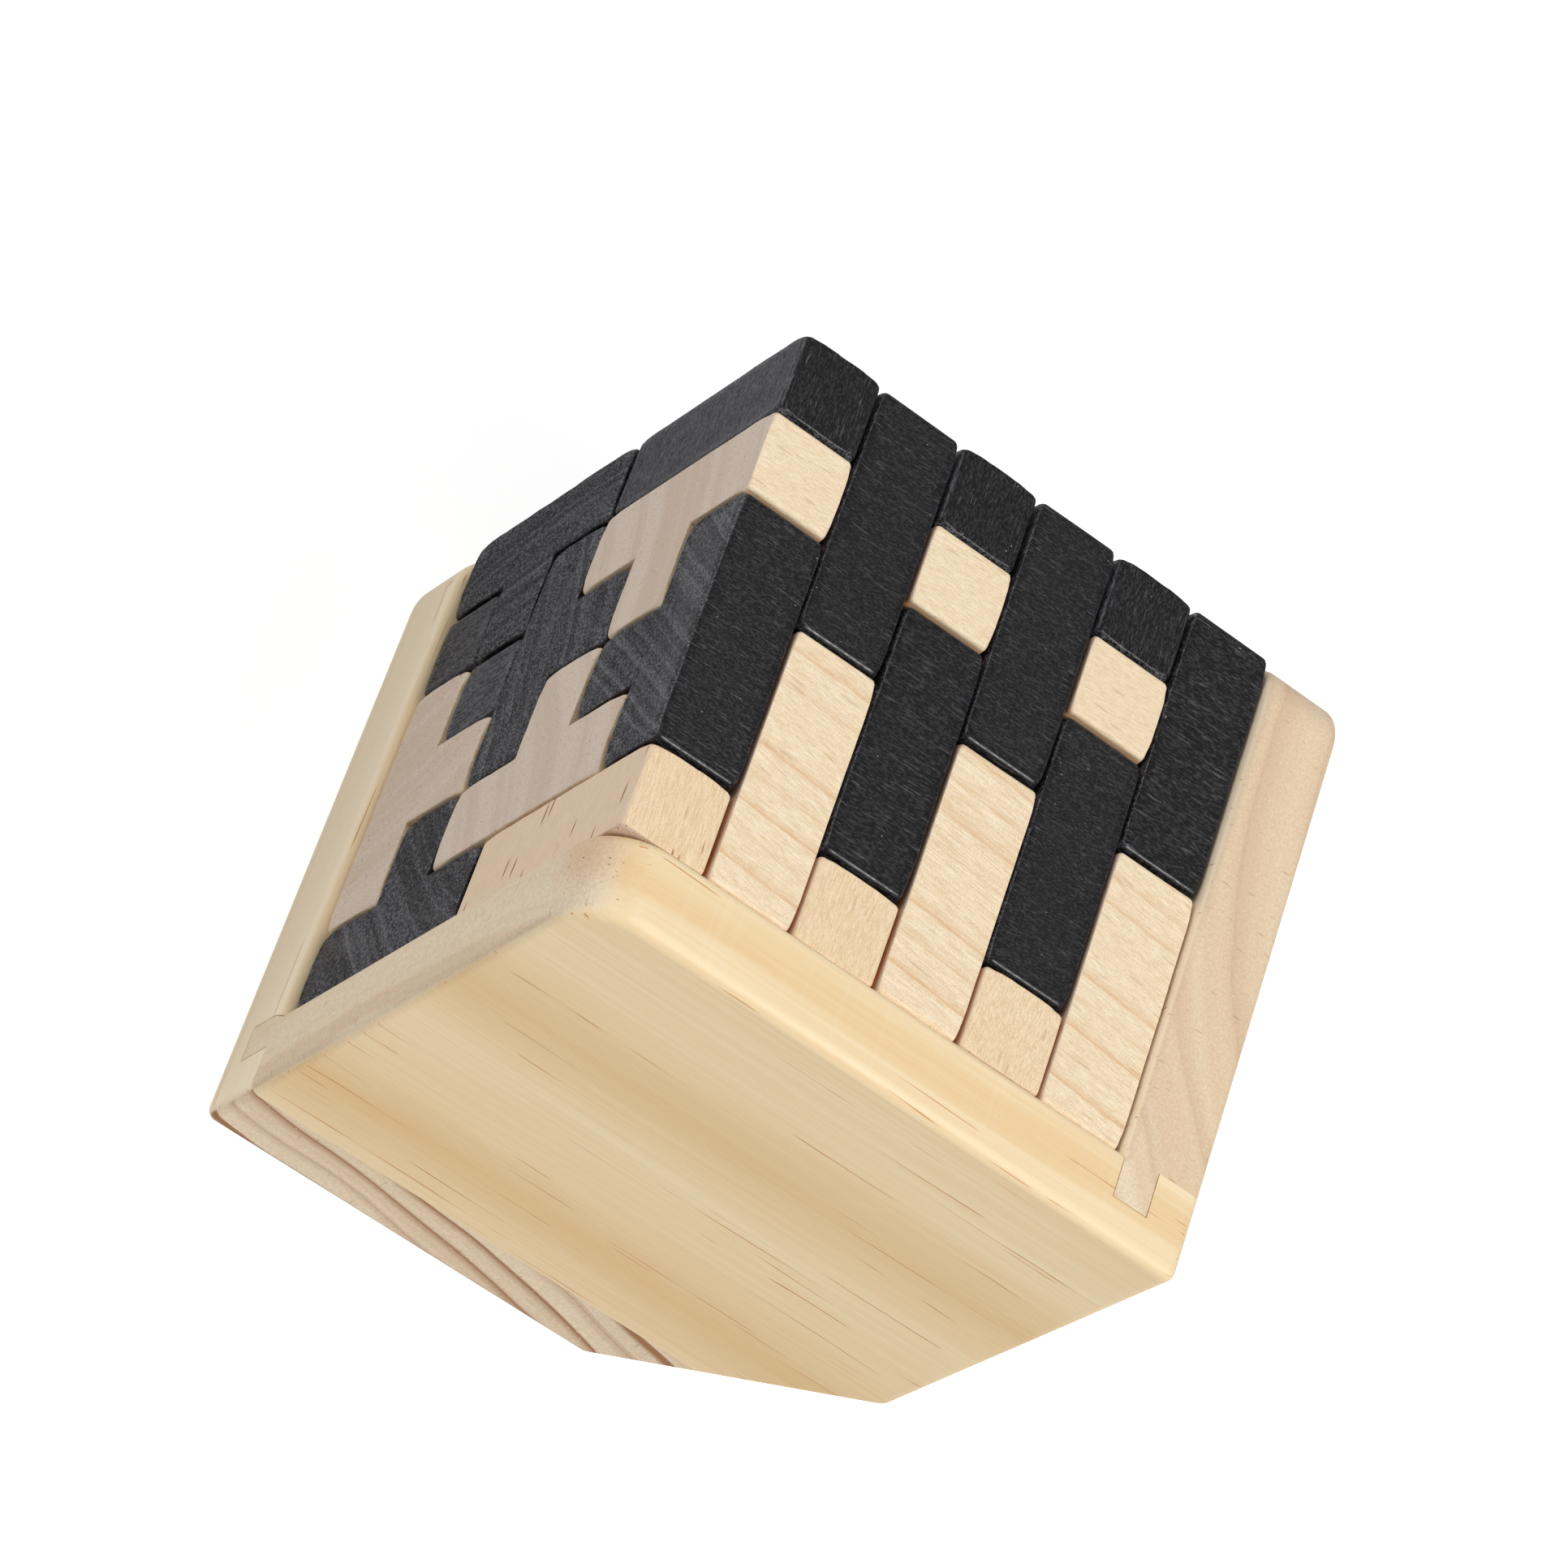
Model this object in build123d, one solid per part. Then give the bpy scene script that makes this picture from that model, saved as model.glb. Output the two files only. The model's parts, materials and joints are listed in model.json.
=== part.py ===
"""Packing puzzle: a cube of loose T-blocks in an open corner tray of three glued boards.

The working frame starts at the inside corner of the tray, where the base, the back wall and the right
wall meet. The cube grows from there to the left (-X), to the front (-Y) and up (+Z). The closed corner
of the tray is sawn off on the outside, square to the diagonal of the cube: on that flat, its foot, the
puzzle also stands with its free corner up. At the end all pieces move together, so that the origin is
the middle of the bounding box, on the underside of the base.
"""

from build123d import *
import os

# Cube of blocks, millimetres
cell_size = 10.0  # edge of one cell, the module of every block
block_gap = 0.4  # play between neighbouring blocks
block_corner_chamfer = 0.6  # flat on each outward corner of the T profile
block_edge_chamfer = 0.25  # easing of the sawn edges round both T faces

# Boards of the tray
board = 9.3  # thickness of all three boards
board_gap = 0.1  # play between the cube's cells and the boards
lip = 0.9  # the boards end this far past the cube
free_corner_radius = 6.5  # rounding of the one free corner of each board
edge_radius = 1.2  # rounding of the tray's edges
foot_cut = 24.0  # length that the foot's cut takes off each outer edge at the closed corner

# Glued tongue-and-groove joints
tongue = 4.0  # thickness of a tongue, which lies on its board's inner side
tongue_depth = 5.0  # reach of a tongue into its groove
glue_gap = 0.1  # room for glue round a tongue

# One slab of the cube, two cells deep, as seen from the front. Each letter is one block. The last column
# lies along the right wall and the last row on the base; the three slabs stand one in front of the other.
slab_back_layer = """
    LLLMMM
    ALORMK
    NOORRQ
    NNORQQ
    NFFFPQ
    EEEPPP
"""
slab_front_layer = """
    ACGGGK
    ACCGIK
    ACDIIK
    BDDDIJ
    BBFHJJ
    BEHHHJ
"""
slab_layers = (slab_back_layer.split(), slab_front_layer.split())
slab_names = ("back", "middle", "front")

cube_side = len(slab_layers[0]) * cell_size
reach = board_gap + cube_side + lip  # from the inside corner to the free edges of the boards
up = Vector(-1, -1, 1)  # diagonal of the cube, from the inside corner of the tray to the free corner
foot = Plane(origin=up * (foot_cut / 3 - board), z_dir=up)


def cuboid(low, high, margin=0.0):
    """Box between two corner points, grown by a margin on all sides."""
    start = Vector(*low) - Vector(margin, margin, margin)
    end = Vector(*high) + Vector(margin, margin, margin)
    size = end - start
    return Pos(start) * Box(size.X, size.Y, size.Z, align=(Align.MIN, Align.MIN, Align.MIN))


def t_block():
    """One block: a bar of three cells along X and a stem of one cell along +Y.

    Its origin is the centre of the bar's middle cell.
    """
    width = cell_size - block_gap
    bar = Rectangle(3 * cell_size - block_gap, width)
    stem = Pos(0, cell_size / 2) * Rectangle(width, 2 * cell_size - block_gap)
    profile = bar + stem
    outward = [corner for corner in profile.vertices() if max(abs(corner.X), corner.Y) > cell_size]
    profile = chamfer(outward, block_corner_chamfer)
    block = extrude(profile, amount=width / 2, both=True)
    t_faces = block.faces().filter_by(Axis.Z)
    return chamfer(t_faces.edges(), block_edge_chamfer)


def slab_cells():
    """Cells of each block of a slab, as (row, column, level), by letter."""
    cells = {}
    for level, layer in enumerate(slab_layers):
        for row, letters in enumerate(layer):
            for column, letter in enumerate(letters):
                cells.setdefault(letter, []).append((row, column, level))
    return cells


def block_plane(cells, slab):
    """Plane of a block in its slab: origin in the bar's middle cell, X along the bar, Y along the stem."""
    half_cell = cell_size / 2
    centres = []
    for row, column, level in cells:
        x = column * cell_size + half_cell - board_gap - cube_side
        y = -board_gap - (slab * len(slab_layers) + level) * cell_size - half_cell
        z = board_gap + cube_side - row * cell_size - half_cell
        centres.append(Vector(x, y, z))
    middle = min(centres, key=lambda point: sum((other - point).length for other in centres))
    arms = [other - middle for other in centres if other is not middle]
    # The two halves of the bar cancel, which leaves the stem
    stem = arms[0] + arms[1] + arms[2]
    bar = next(arm for arm in arms if arm.cross(stem).length > cell_size)
    return Plane(origin=middle, x_dir=bar, z_dir=bar.cross(stem))


def blocks():
    """All loose blocks by node name, slab by slab."""
    block = t_block()
    placed = {}
    for slab, slab_name in enumerate(slab_names):
        for letter, cells in sorted(slab_cells().items()):
            name = f"{slab_name}_block_{letter.lower()}"
            placed[name] = block_plane(cells, slab) * block
    return placed


def glued_corner():
    """Form of the glued-up tray: three square plates with rounded free corners and edges, and a sawn foot."""
    outside = cuboid((-reach, -reach, -board), (board, board, reach))
    inside = cuboid((-reach, -reach, 0), (0, 0, reach))
    corner = outside - inside
    free_corners = [
        corner.edges().filter_by(Axis.X).sort_by(lambda edge: edge.center().Z - edge.center().Y)[-1],
        corner.edges().filter_by(Axis.Y).sort_by(lambda edge: edge.center().Z - edge.center().X)[-1],
        corner.edges().filter_by(Axis.Z).sort_by(lambda edge: edge.center().X + edge.center().Y)[0],
    ]
    corner = fillet(free_corners, free_corner_radius)
    plate_faces = corner.faces().filter_by(GeomType.PLANE).sort_by(SortBy.AREA)[-6:]
    rounded = ShapeList()
    for face in plate_faces:
        for edge in face.edges():
            from_inside_corner = sorted(abs(value) for value in edge.center())
            if from_inside_corner[1] > edge_radius and edge not in rounded:
                rounded.append(edge)
    return split(fillet(rounded, edge_radius), bisect_by=foot, keep=Keep.TOP)


def boards():
    """The three boards by node name, with the joints that hold them together."""
    corner = glued_corner()
    back_to_right_tongue = ((0, 0, 0), (tongue_depth, tongue, reach))
    back_to_base_tongue = ((-reach, 0, -tongue_depth), (0, tongue, 0))
    right_to_base_tongue = ((0, -reach, -tongue_depth), (tongue, board, 0))

    back_wall = cuboid((-reach, 0, 0), (0, board, reach))
    back_wall += cuboid(*back_to_right_tongue)
    back_wall += cuboid(*back_to_base_tongue)

    right_wall = cuboid((0, -reach, 0), (board, board, reach))
    right_wall += cuboid(*right_to_base_tongue)
    right_wall -= cuboid(*back_to_right_tongue, margin=glue_gap)

    base = cuboid((-reach, -reach, -board), (board, board, 0))
    base -= cuboid(*right_to_base_tongue, margin=glue_gap)
    base -= cuboid(*back_to_base_tongue, margin=glue_gap)

    return {
        "tray_base": corner & base,
        "tray_back_wall": corner & back_wall,
        "tray_right_wall": corner & right_wall,
    }


def main():
    """Writes every piece to its own STEP file, with the origin at the bottom centre."""
    middle = (reach - board) / 2
    to_origin = Pos(middle, middle, board)
    os.makedirs("parts", exist_ok=True)
    for name, piece in (boards() | blocks()).items():
        export_step(to_origin * piece, f"parts/{name}.step")


main()
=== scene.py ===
"""Packing puzzle of wooden T-blocks in a pine corner tray: worn blocks, wood finishes, light and camera."""

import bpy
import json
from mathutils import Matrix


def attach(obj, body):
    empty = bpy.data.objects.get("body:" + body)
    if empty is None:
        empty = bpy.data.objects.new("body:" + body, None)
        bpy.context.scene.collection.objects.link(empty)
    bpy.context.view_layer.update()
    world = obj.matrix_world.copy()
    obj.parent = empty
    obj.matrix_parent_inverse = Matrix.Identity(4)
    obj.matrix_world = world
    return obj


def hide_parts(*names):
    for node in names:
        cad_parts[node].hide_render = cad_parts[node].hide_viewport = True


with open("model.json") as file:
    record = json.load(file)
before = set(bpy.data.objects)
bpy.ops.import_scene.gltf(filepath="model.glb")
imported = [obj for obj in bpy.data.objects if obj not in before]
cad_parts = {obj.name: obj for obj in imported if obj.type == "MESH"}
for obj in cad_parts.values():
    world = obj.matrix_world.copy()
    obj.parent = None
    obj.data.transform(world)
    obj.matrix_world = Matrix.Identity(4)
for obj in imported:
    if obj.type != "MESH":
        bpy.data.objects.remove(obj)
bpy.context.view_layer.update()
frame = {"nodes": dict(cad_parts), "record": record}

import json
import math

import bpy
import numpy as np
from mathutils import Matrix, Vector

MM = 0.001
NODES = frame["nodes"]
RECORD = frame["record"]

# In the photograph the puzzle stands on its foot, with the diagonal of the cube upright and the right wall
# in front. Camera and lamps are given in that stance: from the middle of the foot to the right, back and up.
UP = Vector((-1.0, -1.0, 1.0)).normalized()
RIGHT = Vector((0.0, 1.0, 1.0)).normalized()
FOOT = next(Vector(mount["pos_m"]) for mount in RECORD["mounts"] if mount["name"] == "foot")
STANCE = Matrix.Translation(FOOT) @ Matrix((RIGHT, UP.cross(RIGHT), UP)).transposed().to_4x4()

# Place of an orange blush on the right wall's free corner, in metres
BLUSH = (0.0275, -0.0350, 0.0665)


# Shader building


def colour(red, green, blue):
    """Linear colour of a tone that is written as it looks on a screen, 0 to 255."""
    shares = [value / 255 for value in (red, green, blue)]
    linear = [s / 12.92 if s <= 0.04045 else ((s + 0.055) / 1.055) ** 2.4 for s in shares]
    return (*linear, 1.0)


def add(tree, kind, inputs=None, output=0, **settings):
    """Adds a node, fills its inputs with values or links, and returns one of its outputs."""
    made = tree.nodes.new(kind)
    for name, value in settings.items():
        setattr(made, name, value)
    for name, value in (inputs or {}).items():
        if isinstance(value, bpy.types.NodeSocket):
            tree.links.new(value, made.inputs[name])
        else:
            made.inputs[name].default_value = value
    return made.outputs[output]


def maths(tree, operation, *values):
    """One Math node."""
    return add(tree, "ShaderNodeMath", dict(enumerate(values)), operation=operation)


def vector_maths(tree, operation, *values, output=0):
    """One Vector Math node."""
    return add(tree, "ShaderNodeVectorMath", dict(enumerate(values)), output, operation=operation)


def fade(tree, value, start, end, low=0.0, high=1.0):
    """Value eased from low to high while it goes from start to end."""
    inputs = {"Value": value, "From Min": start, "From Max": end, "To Min": low, "To Max": high}
    return add(tree, "ShaderNodeMapRange", inputs, interpolation_type="SMOOTHSTEP")


def blend(tree, share, first, second, mode="MIX"):
    """Two colours mixed by a share from 0 to 1."""
    inputs = {"Factor": share, 6: first, 7: second}
    return add(tree, "ShaderNodeMix", inputs, 2, data_type="RGBA", blend_type=mode)


def noise(tree, place, scale, detail=2.0, roughness=0.5):
    """Soft noise about 0.5."""
    inputs = {"Vector": place, "Scale": scale, "Detail": detail, "Roughness": roughness}
    return add(tree, "ShaderNodeTexNoise", inputs)


def ramp(tree, value, *stops):
    """Value carried through a row of (position, level) stops."""
    made = add(tree, "ShaderNodeValToRGB", {"Fac": value})
    steps = made.node.color_ramp.elements
    while len(steps) < len(stops):
        steps.new(0.5)
    for step, (position, level) in zip(steps, stops):
        step.position = position
        step.color = (level, level, level, 1.0)
    return made


def group(name, inputs, outputs):
    """Empty shader group with named sockets. Returns tree, inputs and a function that sets an output."""
    tree = bpy.data.node_groups.new(name, "ShaderNodeTree")
    for socket, kind in inputs.items():
        tree.interface.new_socket(socket, in_out="INPUT", socket_type=kind)
    for socket, kind in outputs.items():
        tree.interface.new_socket(socket, in_out="OUTPUT", socket_type=kind)
    start = tree.nodes.new("NodeGroupInput")
    end = tree.nodes.new("NodeGroupOutput")
    return tree, start.outputs, lambda socket, value: tree.links.new(value, end.inputs[socket])


def place_group(tree, shared, inputs):
    """Uses a shared group in a material and returns its outputs."""
    return add(tree, "ShaderNodeGroup", inputs, node_tree=shared).node.outputs


VALUE = "NodeSocketFloat"
VECTOR = "NodeSocketVector"


def growth_rings_group():
    """Growth rings round the log's axis.

    Ring number = (distance from the axis + slow drift) / ring width. In each ring the tone rises to a
    thin dark line of late wood and drops at once, and each ring has its own strength. The bands are
    soft noise of the ring number, which follows the rings without their regular beat.
    """
    inputs = {"Log": VECTOR, "Ring Width": VALUE, "Wander": VALUE}
    tree, given, give = group("growth_rings", inputs, {"Late Wood": VALUE, "Bands": VALUE})
    across = vector_maths(tree, "MULTIPLY", given["Log"], (1.0, 1.0, 0.0))
    distance = vector_maths(tree, "LENGTH", across, output=1)
    slow = vector_maths(tree, "MULTIPLY", given["Log"], (1.0, 1.0, 0.15))
    drift = maths(tree, "SUBTRACT", noise(tree, slow, 0.05, 1.0), 0.5)
    distance = maths(tree, "ADD", distance, maths(tree, "MULTIPLY", drift, given["Wander"]))
    number = maths(tree, "DIVIDE", distance, given["Ring Width"])
    stops = ((0.0, 0.2), (0.08, 0.0), (0.55, 0.06), (0.85, 0.6), (0.92, 1.0), (0.97, 0.3))
    late = ramp(tree, maths(tree, "FRACT", number), *stops)
    whole = maths(tree, "FLOOR", number)
    strength = add(tree, "ShaderNodeTexWhiteNoise", {"W": whole}, noise_dimensions="1D")
    give("Late Wood", maths(tree, "MULTIPLY", late, fade(tree, strength, 0.0, 1.0, 0.2, 1.0)))
    height = add(tree, "ShaderNodeSeparateXYZ", {"Vector": given["Log"]}, "Z")
    spot = {"X": number, "Y": maths(tree, "MULTIPLY", height, 0.006)}
    give("Bands", noise(tree, add(tree, "ShaderNodeCombineXYZ", spot), 1.0, 2.0))
    return tree


def drawn_out(tree, log, length):
    """Place in the log that draws out a pattern along the fibre, by a length."""
    along = maths(tree, "DIVIDE", 1.0, length)
    shape = add(tree, "ShaderNodeCombineXYZ", {"X": 1.0, "Y": 1.0, "Z": along})
    return vector_maths(tree, "MULTIPLY", log, shape)


def fibre_lines_group():
    """Fine lines along the fibre: noise squeezed across the log and drawn out along it."""
    inputs = {"Log": VECTOR, "Fineness": VALUE, "Length": VALUE}
    tree, given, give = group("fibre_lines", inputs, {"Lines": VALUE})
    drawn = drawn_out(tree, given["Log"], given["Length"])
    give("Lines", noise(tree, drawn, given["Fineness"], 3.0, 0.65))
    return tree


def pores_group():
    """Scattered pores: round dots on end grain that become short dashes along the fibre.

    Count is the number of cells per millimetre across the fibre, and share the part of them with a pore.
    """
    inputs = {"Log": VECTOR, "Count": VALUE, "Length": VALUE, "Share": VALUE, "Radius": VALUE}
    tree, given, give = group("pores", inputs, {"Pores": VALUE})
    drawn = drawn_out(tree, given["Log"], given["Length"])
    cells = add(tree, "ShaderNodeTexVoronoi", {"Vector": drawn, "Scale": given["Count"]})
    cell_colour = cells.node.outputs["Color"]
    red = add(tree, "ShaderNodeSeparateColor", {"Color": cell_colour})
    kept = maths(tree, "LESS_THAN", red, given["Share"])
    inner = maths(tree, "MULTIPLY", given["Radius"], 0.5)
    dot = fade(tree, cells.node.outputs["Distance"], inner, given["Radius"], 1.0, 0.0)
    give("Pores", maths(tree, "MULTIPLY", dot, kept))
    return tree


def sanding_group():
    """Fine scratches in two crossing directions."""
    tree, given, give = group("sanding", {"Place": VECTOR, "Fineness": VALUE}, {"Scratches": VALUE})
    sets = []
    for turn in (0.5, -0.65):
        inputs = {"Vector": given["Place"], "Angle": turn}
        turned = add(tree, "ShaderNodeVectorRotate", inputs, rotation_type="Z_AXIS")
        drawn = vector_maths(tree, "MULTIPLY", turned, (1.0, 0.03, 1.0))
        sets.append(noise(tree, drawn, given["Fineness"], 2.0, 0.6))
    give("Scratches", maths(tree, "MAXIMUM", *sets))
    return tree


GROWTH_RINGS = growth_rings_group()
FIBRE_LINES = fibre_lines_group()
PORES = pores_group()
SANDING = sanding_group()


def fibre_lines(tree, log, fineness, length):
    """Fine lines along the fibre, about 0.5."""
    return place_group(tree, FIBRE_LINES, {"Log": log, "Fineness": fineness, "Length": length})["Lines"]


def scatter(tree, log, count, length, share, radius):
    """Mask of scattered pores."""
    inputs = {"Log": log, "Count": count, "Length": length, "Share": share, "Radius": radius}
    return place_group(tree, PORES, inputs)["Pores"]


def painted_front_light(tree, share):
    """A share of painted light on surfaces that face the front of the cube, which fades to nothing on all
    others.
    """
    facing = add(tree, "ShaderNodeTexCoord", output="Normal")
    front = add(tree, "ShaderNodeSeparateXYZ", {"Vector": facing}, "Y")
    return fade(tree, front, -0.5, -0.9, 0.0, share)


def tint(tree, mask, amount, under, over):
    """A colour with an amount of another one over it where the mask is 1."""
    return blend(tree, maths(tree, "MULTIPLY", mask, amount), under, over)


def new_material(name):
    """Material with a Principled shader. Returns the material, its tree and the shader node."""
    material = bpy.data.materials.new(name)
    material.use_nodes = True
    tree = material.node_tree
    return material, tree, tree.nodes["Principled BSDF"]


def attribute(tree, name, output):
    """Value of a mesh attribute."""
    return add(tree, "ShaderNodeAttribute", output=output, attribute_name=name)


def finish_wood(tree, shader, tone, roughness, height, depth, specular):
    """Feeds colour, roughness, a bump with its depth in millimetres and a specular level to the shader."""
    bump = add(tree, "ShaderNodeBump", {"Height": height, "Strength": 1.0, "Distance": depth * MM})
    tree.links.new(tone, shader.inputs["Base Color"])
    tree.links.new(roughness, shader.inputs["Roughness"])
    tree.links.new(bump, shader.inputs["Normal"])
    shader.inputs["Specular IOR Level"].default_value = specular


def natural_block_material():
    """Pale bare wood: tan growth lines on the sides, and pinkish end grain with soft bands on the T faces.

    Where a block lies against its neighbours its edges are painted warmer, a painted glow of light bounced in
    the gaps.
    Sides that face the front of the cube are painted paler and pinker, as painted light on that side.
    """
    material, tree, shader = new_material("natural_block")
    log = attribute(tree, "log", "Vector")
    end = fade(tree, attribute(tree, "end", "Fac"), 0.5, 0.9)
    painted_gap_glow = attribute(tree, "painted_gap_glow", "Fac")
    age = attribute(tree, "age", "Fac")
    figure = attribute(tree, "figure", "Fac")
    rings = place_group(tree, GROWTH_RINGS, {"Log": log, "Ring Width": 2.9, "Wander": 1.6})
    lines = fibre_lines(tree, log, 6.5, 14.0)
    pores = scatter(tree, log, 1.0, 9.0, 0.9, 0.2)
    specks = scatter(tree, log, 1.3, 8.0, 0.2, 0.18)
    grain = noise(tree, log, 6.0, 2.0, 0.7)

    weave = maths(tree, "MULTIPLY_ADD", lines, 0.6, maths(tree, "MULTIPLY", grain, 0.4))
    side = blend(tree, fade(tree, weave, 0.36, 0.64), colour(229, 203, 165), colour(253, 237, 209))
    side = blend(tree, fade(tree, rings["Bands"], 0.45, 0.7, 0.0, 0.16), side, colour(229, 197, 153))
    late = maths(tree, "MULTIPLY", maths(tree, "POWER", rings["Late Wood"], 1.4), figure)
    side = blend(tree, late, side, colour(212, 158, 98))
    face = blend(tree, fade(tree, grain, 0.34, 0.66), colour(209, 190, 173), colour(234, 217, 200))
    face = blend(tree, fade(tree, rings["Bands"], 0.42, 0.68, 0.0, 0.45), face, colour(204, 178, 154))
    face = tint(tree, specks, 0.7, face, colour(126, 101, 82))
    # Painted light: sides that face the front of the cube are painted paler and pinker
    side = blend(tree, painted_front_light(tree, 0.5), side, colour(244, 224, 208))
    tone = blend(tree, end, side, face)
    tone = blend(tree, fade(tree, age, 0.3, 1.0, 0.0, 0.3), tone, colour(236, 208, 172), "MULTIPLY")
    tone = tint(tree, pores, fade(tree, age, 0.8, 1.0, 0.22, 0.9), tone, colour(150, 96, 58))
    # Painted glow: warm orange where light bounces in the gaps between blocks
    tone = tint(tree, painted_gap_glow, 0.8, tone, colour(214, 142, 80))

    roughness = fade(tree, weave, 0.3, 0.7, 0.46, 0.62)
    height = maths(tree, "SUBTRACT", weave, maths(tree, "MULTIPLY", pores, 0.5))
    finish_wood(tree, shader, tone, roughness, height, 0.04, 0.3)
    return material


def black_block_material():
    """Satin black stain: raised grain with sparse pale streaks, and greyer end grain with growth lines.

    Sides that face the front of the cube are painted greyer too, a painted sheen. Rubbed edges are smoother,
    and old blocks darker.
    """
    material, tree, shader = new_material("black_block")
    log = attribute(tree, "log", "Vector")
    end = fade(tree, attribute(tree, "end", "Fac"), 0.5, 0.9)
    edge = attribute(tree, "edge", "Fac")
    age = attribute(tree, "age", "Fac")
    rings = place_group(tree, GROWTH_RINGS, {"Log": log, "Ring Width": 1.6, "Wander": 3.0})
    grain = fibre_lines(tree, log, 5.0, 2.6)
    streaks = fibre_lines(tree, log, 4.4, 11.0)
    flecks = scatter(tree, log, 0.9, 1.5, 0.25, 0.08)

    streak = fade(tree, streaks, 0.57, 0.72)
    side = blend(tree, fade(tree, grain, 0.44, 0.66), colour(4, 4, 5), colour(54, 54, 57))
    side = tint(tree, streak, 0.8, side, colour(100, 99, 102))
    side = tint(tree, flecks, 0.7, side, colour(190, 187, 184))
    cloud = fade(tree, rings["Bands"], 0.4, 0.66, 0.0, 0.3)
    cloud = maths(tree, "ADD", cloud, fade(tree, noise(tree, log, 3.2, 2.0, 0.8), 0.42, 0.62, -0.25, 0.5))
    cloud = maths(tree, "ADD", cloud, maths(tree, "MULTIPLY", rings["Late Wood"], 0.4))
    face = blend(tree, cloud, colour(15, 15, 18), colour(130, 129, 136))
    weave = maths(tree, "MULTIPLY_ADD", streaks, 0.5, maths(tree, "MULTIPLY", grain, 0.5))
    grey = blend(tree, fade(tree, weave, 0.4, 0.62), colour(30, 30, 34), colour(116, 115, 122))
    # Painted sheen: sides that face the front of the cube are painted grey
    side = blend(tree, painted_front_light(tree, 0.75), side, grey)
    tone = blend(tree, end, side, face)
    tone = blend(tree, fade(tree, age, 0.0, 1.0, 0.0, 0.5), tone, colour(16, 16, 18))

    roughness = fade(tree, grain, 0.3, 0.7, 0.6, 0.44)
    roughness = maths(tree, "MULTIPLY_ADD", end, 0.12, roughness)
    roughness = maths(tree, "SUBTRACT", roughness, maths(tree, "MULTIPLY", edge, 0.2))
    relief = maths(tree, "MULTIPLY_ADD", streak, 0.4, grain)
    relief = blend(tree, edge, relief, (0.5, 0.5, 0.5, 1.0))
    finish_wood(tree, shader, tone, roughness, relief, 0.12, 0.3)
    return material


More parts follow.
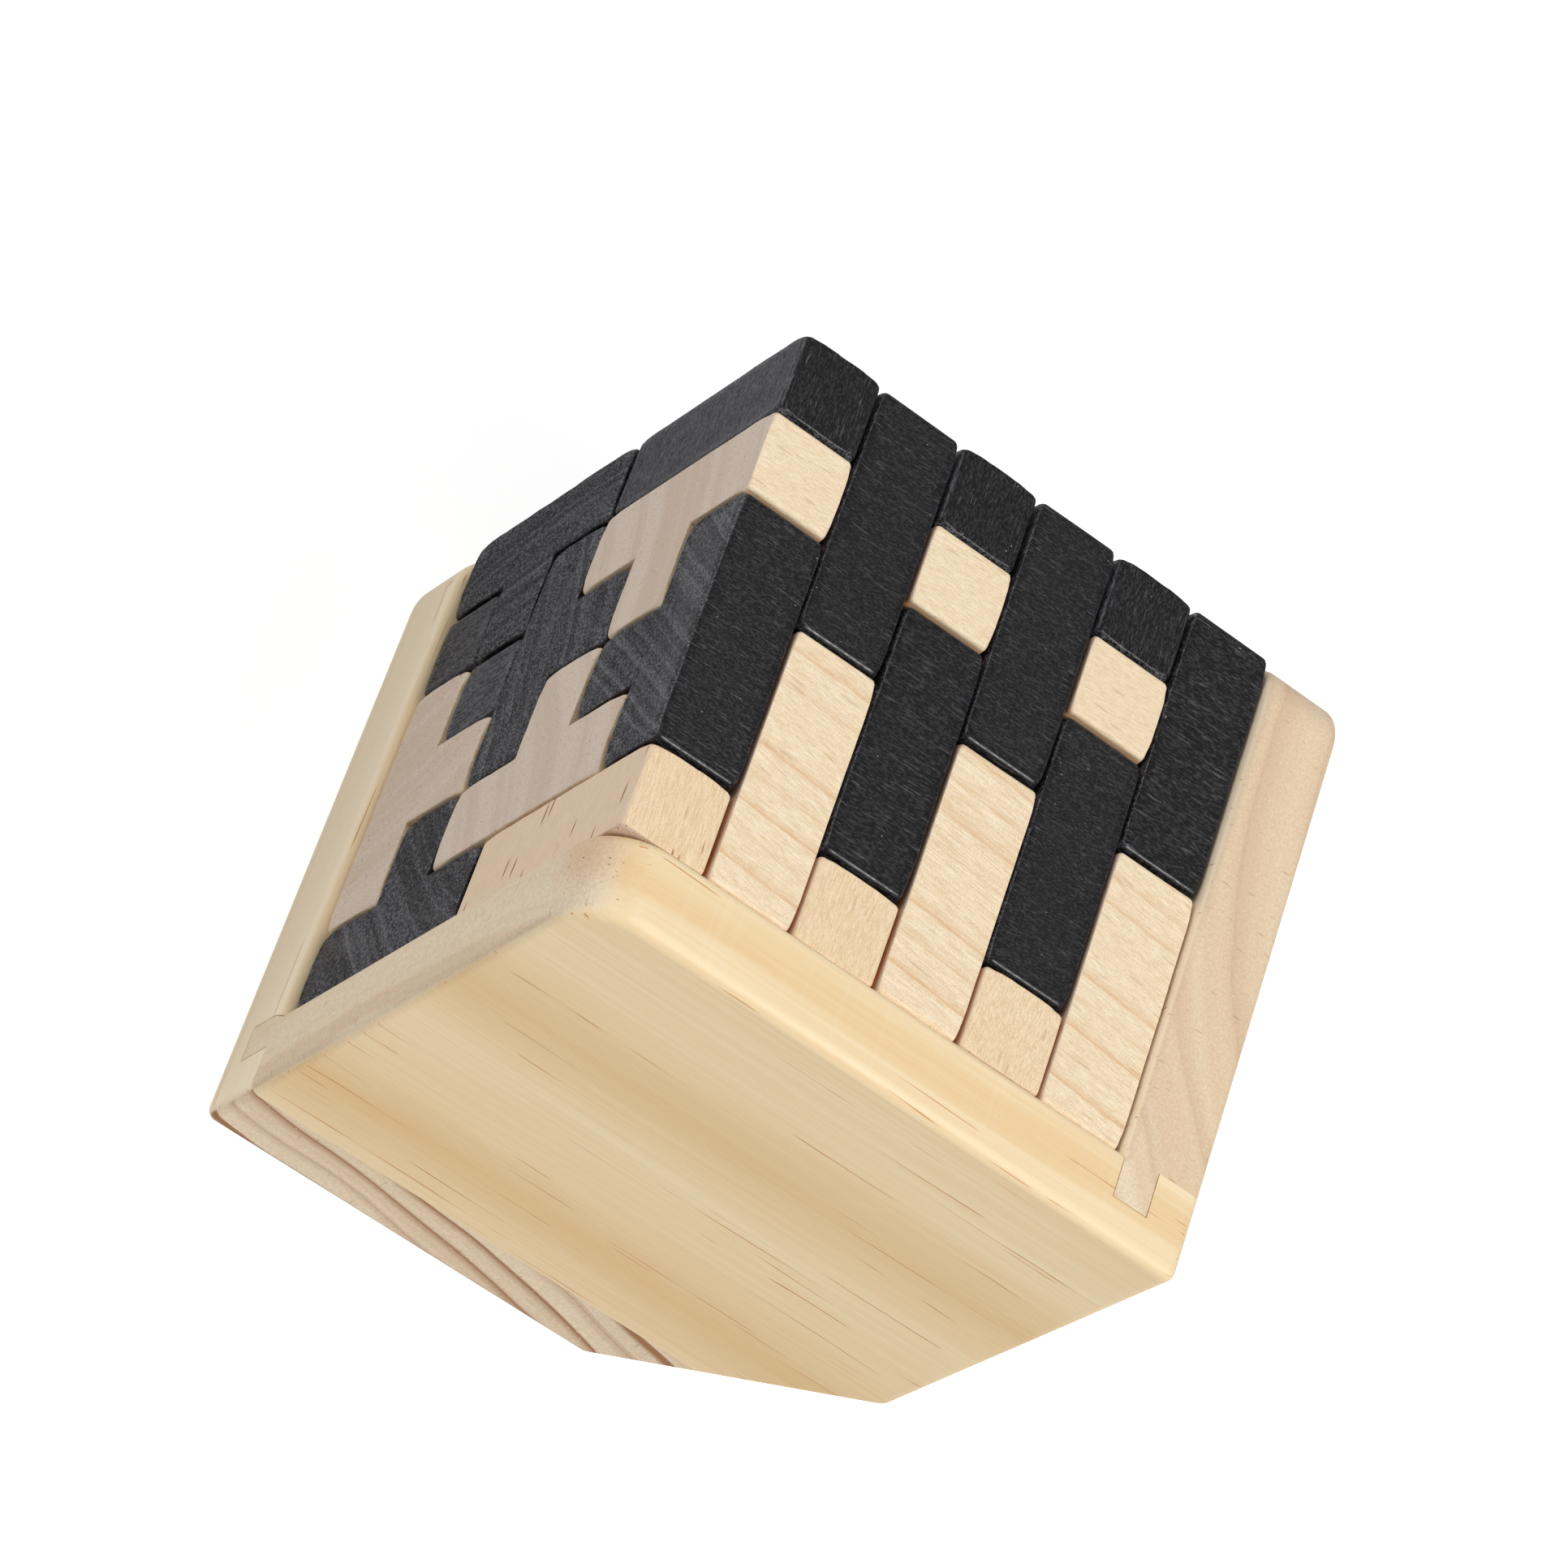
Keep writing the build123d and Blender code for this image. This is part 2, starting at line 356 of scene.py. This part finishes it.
def pine_material(name, across, place, ring_width, line, depth, width, amber):
    """Yellow pine: amber bands and thin resin dashes along the fibre, pinkish end grain with growth lines.

    The log's X axis goes through the board's thickness, Y along its width and Z along its fibre. The
    rows of across are these directions, and the place is the board's offset, in millimetres, from the
    heart of the log. Depth and width are the board's reach along X and Y. Amber stops go across the
    board, over its width, and its narrow sides have an amber core near the middle of the depth. The line
    is the strength of late wood on end grain. Near the blush the tone is orange with brown dots.
    """
    material, tree, shader = new_material(name)
    where = add(tree, "ShaderNodeTexCoord", output="Object")
    facing = add(tree, "ShaderNodeTexCoord", output="Normal")
    turn = Matrix(across).to_euler()
    inputs = {"Vector": where, "Location": place, "Rotation": turn, "Scale": (1 / MM, 1 / MM, 1 / MM)}
    log = add(tree, "ShaderNodeMapping", inputs)
    outward = add(tree, "ShaderNodeMapping", {"Vector": facing, "Rotation": turn}, vector_type="NORMAL")
    along = add(tree, "ShaderNodeSeparateXYZ", {"Vector": outward}, "Z")
    end = fade(tree, maths(tree, "ABSOLUTE", along), 0.55, 0.8)
    spot = add(tree, "ShaderNodeSeparateXYZ", {"Vector": log}).node.outputs
    rings = place_group(tree, GROWTH_RINGS, {"Log": log, "Ring Width": ring_width, "Wander": 4.0})
    lines = fibre_lines(tree, log, 2.0, 60.0)
    drawn = vector_maths(tree, "MULTIPLY", log, (1.0, 1.0, 0.12))
    sway = noise(tree, drawn, 0.35).node.outputs["Color"]
    swayed = vector_maths(tree, "MULTIPLY_ADD", sway, (1.6, 1.6, 0.0), log)
    resin = scatter(tree, swayed, 1.8, 150.0, 0.7, 0.2)
    canals = scatter(tree, log, 1.3, 30.0, 0.5, 0.18)
    radial = add(tree, "ShaderNodeCombineXYZ", {"X": spot["Y"], "Z": spot["X"]})
    ticks = scatter(tree, radial, 1.2, 5.0, 0.6, 0.16)
    flat = add(tree, "ShaderNodeCombineXYZ", {"X": spot["Y"], "Y": spot["Z"]})
    scratches = place_group(tree, SANDING, {"Place": flat, "Fineness": 2.2})
    grit = noise(tree, log, 3.0, 2.0, 0.7)
    band = fade(tree, rings["Bands"], 0.44, 0.66)
    # Noise has a mean of 0.5, so half its reach is added to what the drifted place is held against
    drift_reach = 8.0
    drift = maths(tree, "MULTIPLY_ADD", noise(tree, drawn, 0.12), drift_reach, spot["Y"])
    share = fade(tree, drift, width[0] + drift_reach / 2, width[1] + drift_reach / 2)
    share.node.interpolation_type = "LINEAR"
    amber = ramp(tree, share, *amber)
    core_drift = 3.0
    core_place = 0.55 * depth[0] + 0.45 * depth[1] + core_drift / 2
    from_core = maths(tree, "SUBTRACT", spot["X"], core_place)
    from_core = maths(tree, "MULTIPLY_ADD", noise(tree, drawn, 0.15), core_drift, from_core)
    core = fade(tree, maths(tree, "ABSOLUTE", from_core), 0.8, 3.2, 0.55, 0.1)
    strip = fade(tree, maths(tree, "ABSOLUTE", along.node.outputs["Y"]), 0.6, 0.9)
    amber = maths(tree, "MULTIPLY_ADD", strip, maths(tree, "SUBTRACT", core, amber), amber)

    side = blend(tree, fade(tree, lines, 0.3, 0.7), colour(246, 221, 178), colour(251, 231, 193))
    side = tint(tree, amber, 0.7, side, colour(226, 180, 114))
    # Painted light: sides that face the front of the cube are painted paler
    side = blend(tree, painted_front_light(tree, 0.7), side, colour(255, 240, 215))
    side = tint(tree, rings["Late Wood"], 0.15, side, colour(214, 164, 100))
    side = tint(tree, resin, 0.8, side, colour(202, 132, 74))
    side = blend(tree, fade(tree, scratches["Scratches"], 0.58, 0.72, 0.0, 0.08), side, colour(255, 246, 224))
    face = blend(tree, fade(tree, grit, 0.3, 0.7), colour(232, 209, 178), colour(246, 228, 200))
    face = tint(tree, band, 0.35, face, colour(204, 164, 122))
    face = tint(tree, ticks, 0.35, face, colour(152, 112, 82))
    face = tint(tree, rings["Late Wood"], line, face, colour(164, 116, 76))
    face = tint(tree, canals, 0.5, face, colour(246, 230, 208))
    tone = blend(tree, end, side, face)
    from_blush = vector_maths(tree, "DISTANCE", where, BLUSH, output="Value")
    blush = fade(tree, maths(tree, "MULTIPLY_ADD", grit, 0.003, from_blush), 0.003, 0.008, 1.0, 0.0)
    tone = tint(tree, blush, 0.3, tone, colour(216, 150, 88))
    dots = maths(tree, "MULTIPLY", blush, canals)
    tone = tint(tree, dots, 0.9, tone, colour(140, 86, 50))

    roughness = fade(tree, lines, 0.2, 0.8, 0.46, 0.6)
    finish_wood(tree, shader, tone, roughness, lines, 0.008, 0.35)
    return material


# Blocks


def t_outline(half, reach, radius, inner_radius):
    """Outline of the T with rounded corners, anticlockwise, with its outward ways and its share of corner.

    Each of the eight corners is a quarter arc: point = centre + side * radius * normal, where the
    centre lies radius from both edges, inside the wood at an outward corner (side 1) and outside it at
    the two inner corners (side -1), and the normal swings from one edge's to the next. Straight edges
    get points that crowd towards their ends: share = (1 - cos(pi * step)) / 2. An outline moved along
    its ways keeps its corners: the way is the sum of both edges' normals on an arc, and goes evenly from
    one corner's to the next between them.
    """
    arc_points = 7
    straight_points = 18
    corners = np.array([
        (-reach, -half), (reach, -half), (reach, half), (half, half),
        (half, reach), (-half, reach), (-half, half), (-reach, half),
    ])
    side = np.array([1.0, 1.0, 1.0, -1.0, 1.0, 1.0, -1.0, 1.0])
    run = np.roll(corners, -1, axis=0) - corners
    run /= np.linalg.norm(run, axis=1, keepdims=True)
    after = np.stack([run[:, 1], -run[:, 0]], axis=1)
    before = np.roll(after, 1, axis=0)
    radii = np.where(side > 0, radius, inner_radius)
    centre = corners - (side * radii)[:, None] * (before + after)
    swing = np.linspace(0.0, np.pi / 2, arc_points)[None, :, None]
    normal = np.cos(swing) * before[:, None] + np.sin(swing) * after[:, None]
    arc = centre[:, None] + (side * radii)[:, None, None] * normal
    step = np.linspace(0, 1, straight_points + 2)[1:-1]
    share = ((1 - np.cos(np.pi * step)) / 2)[None, :, None]
    straight = arc[:, -1:] * (1 - share) + np.roll(arc[:, :1], -1, axis=0) * share
    points = np.concatenate([arc, straight], axis=1).reshape(-1, 2)
    diagonal = (before + after)[:, None]
    corner_way = np.broadcast_to(diagonal, arc.shape)
    straight_way = diagonal * (1 - share) + np.roll(diagonal, -1, axis=0) * share
    ways = np.concatenate([corner_way, straight_way], axis=1).reshape(-1, 2)
    on_straight = np.zeros((len(corners), straight_points), bool)
    on_arc = np.concatenate([np.tile((side > 0)[:, None], arc_points), on_straight], axis=1)
    return points, ways, on_arc.reshape(-1).astype(float)


def waves(chance, counts, angle, drift=0.0):
    """Mean of sine waves along the outline with chance phases: mean of sin(count * angle + phase + drift)."""
    counts = np.array(counts, float).reshape(-1, 1, 1)
    phase = chance.uniform(0.0, 2 * np.pi, counts.shape)
    return np.sin(counts * angle + phase + drift).mean(axis=0)


def t_block_surface(half, reach, radius, easing, seed):
    """One block in its own frame, in millimetres, with the bar along X, the stem along Y and fibre along Z.

    Every ring is the T outline moved inward: ring = outline - way * inset, at its own height. The
    insets and heights of the rings follow a quarter circle at each sawn edge, and a straight side between
    them. That circle wavers along the outline and grows towards the outward corners, by
    corner wear * exp(-(distance / wear reach)^2). A slow wave takes up to twice the sanding off the sides.
    Returns points, faces, and for each point its share of worn edge and of end grain.
    """
    inner_radius = 0.12
    corner_wear = 0.45
    wear_reach = 1.6
    face_margin = 0.45
    sanding = 0.035
    side_levels = (half - 1.2, half * 0.55, half * 0.2)
    edge_rings = 5
    chance = np.random.default_rng(seed)
    points, ways, on_arc = t_outline(half, reach, radius, inner_radius)
    outward = np.array([
        (-reach, -half), (reach, -half), (reach, half), (half, reach), (-half, reach), (-reach, half),
    ])
    corner = np.linalg.norm(points[:, None] - outward[None], axis=2).min(axis=1)[None, :]
    run = np.linalg.norm(np.roll(points, -1, axis=0) - points, axis=1)
    angle = (2 * np.pi * (np.cumsum(run) - run) / run.sum())[None, :]
    swing = np.linspace(0.0, np.pi / 2, edge_rings)[:, None]
    rise = np.concatenate([[1.0], np.sin(np.pi / 2 - swing[:, 0]), np.zeros(len(side_levels))])[:, None]
    halves = []
    for face in (1.0, -1.0):
        eased = chance.uniform(*easing) * (1 + 0.5 * waves(chance, (5, 11, 23, 37, 61), angle))
        eased = eased + corner_wear * np.exp(-((corner / wear_reach) ** 2))
        on_side = np.zeros((len(side_levels), angle.size))
        inset = np.concatenate([eased + face_margin, eased * (1 - np.sin(swing)), on_side])
        top, *sides = [np.full(eased.shape, value) for value in (half, *side_levels)]
        level = np.concatenate([top, half - eased * (1 - np.cos(swing)), *sides])
        halves.append((inset, face * level, rise))
    inset, level, rise = (np.concatenate([top, below[::-1]]) for top, below in zip(*halves))

    wave = waves(chance, (2, 3, 5, 9), angle, 0.3 * level)
    inward = inset + sanding * (1 + wave) * (1 - rise)
    flat = points[None] - ways[None] * inward[..., None]
    place = np.concatenate([flat, level[..., None]], axis=2)

    rings, count = inward.shape
    ring, step = np.meshgrid(np.arange(rings - 1), np.arange(count), indexing="ij")
    after = (step + 1) % count
    quads = [ring * count + after, ring * count + step, (ring + 1) * count + step, (ring + 1) * count + after]
    faces = np.stack(quads, axis=-1).reshape(-1, 4).tolist()
    faces.append(list(range(count)))
    faces.append(list(range(rings * count - 1, (rings - 1) * count - 1, -1)))
    number = np.arange(rings)[:, None]
    worn = ((rise > 0) & (rise < 1)) | (number == edge_rings) | (number == rings - 1 - edge_rings)
    edge = np.maximum(worn, on_arc[None, :])
    end = np.broadcast_to(rise, inward.shape)
    return place.reshape(-1, 3), faces, edge.reshape(-1), end.reshape(-1)


def node_points(node):
    """Vertices of a node in millimetres."""
    mesh = NODES[node].data
    points = np.empty(len(mesh.vertices) * 3)
    mesh.vertices.foreach_get("co", points)
    return points.reshape(-1, 3) / MM


def block_frame(node):
    """Axes of a block, as columns bar, stem and fibre, and the centre of its bar's middle cell.

    The box of a T-block is one cell thick, two cells along the stem and three along the bar. The bar
    lies at the end of the stem's axis where the node's vertices spread wider. Half the thickness and
    half the length of the bar are returned too.
    """
    points = node_points(node)
    low, high = points.min(axis=0), points.max(axis=0)
    fibre_axis, stem_axis, bar_axis = np.argsort(high - low)
    rim = 1.5
    near_low = points[:, stem_axis] < low[stem_axis] + rim
    stem_sign = 1.0 if np.ptp(points[near_low, bar_axis]) > (high - low)[stem_axis] else -1.0
    axes = np.zeros((3, 3))
    axes[bar_axis, 0] = 1.0
    axes[stem_axis, 1] = stem_sign
    axes[:, 2] = np.cross(axes[:, 0], axes[:, 1])
    half = (high - low)[fibre_axis] / 2
    centre = (low + high) / 2
    centre[stem_axis] = (low if stem_sign > 0 else high)[stem_axis] + stem_sign * half
    return axes, centre, half, (high - low)[bar_axis] / 2


def turn_matrix(axis, angle):
    """Turn about one axis as a 3x3 array."""
    return np.array(Matrix.Rotation(angle, 3, axis))


def cube_box():
    """Centre and half sides of the cube of blocks, in millimetres."""
    points = np.concatenate([node_points(name) for name in NODES if "_block_" in name])
    low, high = points.min(axis=0), points.max(axis=0)
    return (low + high) / 2, (high - low) / 2


CUBE_CENTRE, CUBE_SIDES = cube_box()

# How the blocks of each finish are cut, in millimetres and degrees: ranges of the corner radius, of the
# easing of sawn edges and of the distance from the heart of the log, and the fibre's mean tilt
CUTS = {
    "natural_block": {
        "radius": (0.4, 0.6), "easing": (0.15, 0.22), "away": (35.0, 80.0), "tilt": (0.0, -8.0),
    },
    "black_block": {
        "radius": (0.6, 0.8), "easing": (0.22, 0.34), "away": (90.0, 180.0), "tilt": (0.0, 0.0),
    },
}


def add_block(node, finish, slot, seed):
    """Puts a worn block in a node's place. Its wood is cut from its own spot and turn of a log."""
    axes, centre, half, reach = block_frame(node)
    chance = np.random.default_rng(seed + 1000)
    cut = CUTS[slot]
    radius = chance.uniform(*cut["radius"])
    local, faces, edge, end = t_block_surface(half, reach, radius, cut["easing"], seed)
    play = chance.uniform(-0.08, 0.08, 3)
    place = local @ axes.T + centre + play
    tilt = np.radians(chance.normal(cut["tilt"], (1.5, 2.5)))
    # The rings of natural blocks lie alike, those of black ones at any turn
    heart = chance.normal(0.0, 0.2) if slot == "natural_block" else chance.uniform(0.0, 6.28)
    turn = turn_matrix("Z", heart) @ turn_matrix("X", tilt[0]) @ turn_matrix("Y", tilt[1])
    away = chance.uniform(*cut["away"])
    spot = np.array([away, chance.uniform(-12.0, 12.0), chance.uniform(-400.0, 400.0)])
    log = local @ turn.T * chance.uniform(0.8, 1.25) + spot
    # The k blocks, at the right wall's free corner, are the oldest; c and k have faint rings
    age = chance.uniform(0.0, 0.5)
    if node.endswith("_k"):
        age = 1.0 if node == "front_block_k" else 0.8
    figure = 0.1 if node[-1] in "ck" else 0.6
    # Painted glow of light bounced in the gaps: the wood is painted warm from 0.3 mm under the cube's
    # outside, and paler again from 1.5 mm down
    depth = (CUBE_SIDES - np.abs(place - CUBE_CENTRE)).min(axis=1)
    painted_gap_glow = np.clip((depth - 0.3) / 0.6, 0.0, 1.0) * np.where(end > 0.0, 1.0, 0.8)
    painted_gap_glow *= 1.0 - 0.7 * np.clip((depth - 1.5) / 4.0, 0.0, 1.0)
    mesh = bpy.data.meshes.new(f"{node}_worn")
    mesh.from_pydata((place * MM).tolist(), [], faces)
    mesh.attributes.new("log", "FLOAT_VECTOR", "POINT").data.foreach_set("vector", log.reshape(-1))
    values = {"edge": edge, "end": end, "painted_gap_glow": painted_gap_glow, "age": age, "figure": figure}
    for name, value in values.items():
        layer = mesh.attributes.new(name, "FLOAT", "POINT")
        layer.data.foreach_set("value", np.full(len(edge), value))
    mesh.shade_smooth()
    mesh.materials.append(finish)
    piece = bpy.data.objects.new(f"{node}_worn", mesh)
    bpy.context.scene.collection.objects.link(piece)
    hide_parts(node)
    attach(piece, node)


def add_blocks():
    """Replaces all blocks, each in the finish of its slot in the record."""
    finishes = {"natural_block": natural_block_material(), "black_block": black_block_material()}
    slots = {part["node"]: part["material_slot"] for part in RECORD["subparts"]}
    for seed, node in enumerate(sorted(name for name in NODES if "_block_" in name)):
        add_block(node, finishes[slots[node]], slots[node], seed)


# Tray


def dress_tray():
    """Gives each board its pine. The fibre of a board runs towards the next one round the closed corner."""
    edge_x, edge_y, edge_z = np.eye(3)
    bands = (
        (0.0, 0.2), (0.08, 0.15), (0.2, 0.85), (0.32, 0.35),
        (0.5, 0.1), (0.66, 0.8), (0.82, 0.1), (1.0, 0.25),
    )
    few_bands = ((0.0, 0.0), (0.2, 0.1), (0.45, 0.6), (0.6, 0.2), (0.8, 0.7), (1.0, 0.3))
    # Directions, place, ring width, line and amber stops of each board
    boards = {
        "tray_right_wall": ((edge_x, edge_z, -edge_y), (-177.0, -33.0, 32.0), 3.6, 0.25, bands),
        "tray_back_wall": ((edge_y, -edge_x, edge_z), (-90.0, -20.0, 210.0), 7.0, 0.28, few_bands),
        "tray_base": ((edge_z, edge_y, -edge_x), (220.0, 62.0, 430.0), 3.4, 2.5, few_bands),
    }
    for node, (across, place, ring_width, line, amber) in boards.items():
        spans = [node_points(node) @ row + start for row, start in zip(across[:2], place[:2])]
        depth, width = ((span.min(), span.max()) for span in spans)
        name = node.replace("tray", "pine")
        material = pine_material(name, across, place, ring_width, line, depth, width, amber)
        data = NODES[node].data
        data.materials.clear()
        data.materials.append(material)


# Studio


def seen_strength(tree, light, extra):
    """Strength of a background: its light, an extra for the camera, and a faint one that wood mirrors."""
    mirror_extra = 0.05
    rays = add(tree, "ShaderNodeLightPath").node.outputs
    mirrored = maths(tree, "MAXIMUM", rays["Is Glossy Ray"], rays["Is Transmission Ray"])
    strength = maths(tree, "MULTIPLY_ADD", mirrored, mirror_extra, light)
    return maths(tree, "MULTIPLY_ADD", rays["Is Camera Ray"], extra, strength)


def add_floor():
    """Wide pale floor under the tray's base, which the camera sees as white paper with a faint shadow."""
    size = 6.0
    corners = [(-size, -size, 0.0), (size, -size, 0.0), (size, size, 0.0), (-size, size, 0.0)]
    mesh = bpy.data.meshes.new("floor")
    mesh.from_pydata(corners, [], [(0, 1, 2, 3)])
    material, tree, shader = new_material("floor_white")
    shader.inputs["Base Color"].default_value = (0.6, 0.6, 0.6, 1.0)
    shader.inputs["Roughness"].default_value = 0.9
    shader.inputs["Specular IOR Level"].default_value = 0.1
    seen = seen_strength(tree, 0.0, 0.74)
    shader.inputs["Emission Color"].default_value = (1.0, 1.0, 1.0, 1.0)
    tree.links.new(seen, shader.inputs["Emission Strength"])
    mesh.materials.append(material)
    floor = bpy.data.objects.new("floor", mesh)
    bpy.context.scene.collection.objects.link(floor)


def add_lamp(name, place, size, level):
    """Square soft lamp in the stance of the photograph, turned to the puzzle's middle.

    The level is what it adds to a white surface facing it: power / (pi * distance)^2.
    """
    place = STANCE @ Vector(place)
    middle = STANCE @ Vector((0.0, 0.0, 0.055))
    way = middle - place
    lamp = bpy.data.lights.new(name, "AREA")
    lamp.shape = "SQUARE"
    lamp.size = size
    lamp.energy = level * (math.pi * way.length) ** 2
    made = bpy.data.objects.new(name, lamp)
    made.matrix_world = Matrix.Translation(place) @ way.to_track_quat("-Z", "Y").to_matrix().to_4x4()
    bpy.context.scene.collection.objects.link(made)


def add_light():
    """Even white surroundings, a wide lamp overhead and a soft key lamp from the right and front.

    The surroundings give little light, but the camera sees them as white.
    """
    world = bpy.data.worlds.new("studio")
    world.use_nodes = True
    tree = world.node_tree
    surroundings = tree.nodes["Background"]
    surroundings.inputs["Color"].default_value = (1.0, 1.0, 1.0, 1.0)
    light = 0.36
    strength = seen_strength(tree, light, 1.0 - light)
    tree.links.new(strength, surroundings.inputs["Strength"])
    bpy.context.scene.world = world
    add_lamp("overhead", (-1.5, -0.9, 3.6), 3.4, 0.39)
    add_lamp("key", (2.7, -1.9, 0.1), 0.9, 0.66)


def add_camera():
    """Long lens in the photograph's stance, a little above the puzzle and to its right, slightly rolled."""
    azimuth = math.radians(17.772)
    elevation = math.radians(19.109)
    roll = math.radians(-2.486)
    distance = 0.62547
    aim = Vector((-0.283, -0.091, 59.825)) * MM
    level = Vector((math.cos(azimuth), math.sin(azimuth), 0.0))
    back = Vector((
        math.sin(azimuth) * math.cos(elevation),
        -math.cos(azimuth) * math.cos(elevation),
        math.sin(elevation),
    ))
    upright = back.cross(level)
    up = math.cos(roll) * upright + math.sin(roll) * level
    place = aim + back * distance
    lens = bpy.data.cameras.new("camera")
    lens.lens = 145.861
    lens.sensor_width = 36.0
    lens.clip_end = 20.0
    camera = bpy.data.objects.new("camera", lens)
    turn = Matrix((up.cross(back), up, back)).transposed()
    camera.matrix_world = STANCE @ Matrix.Translation(place) @ turn.to_4x4()
    bpy.context.scene.collection.objects.link(camera)
    bpy.context.scene.camera = camera


bpy.context.scene.view_settings.view_transform = "Standard"
add_blocks()
dress_tray()
add_floor()
add_light()
add_camera()
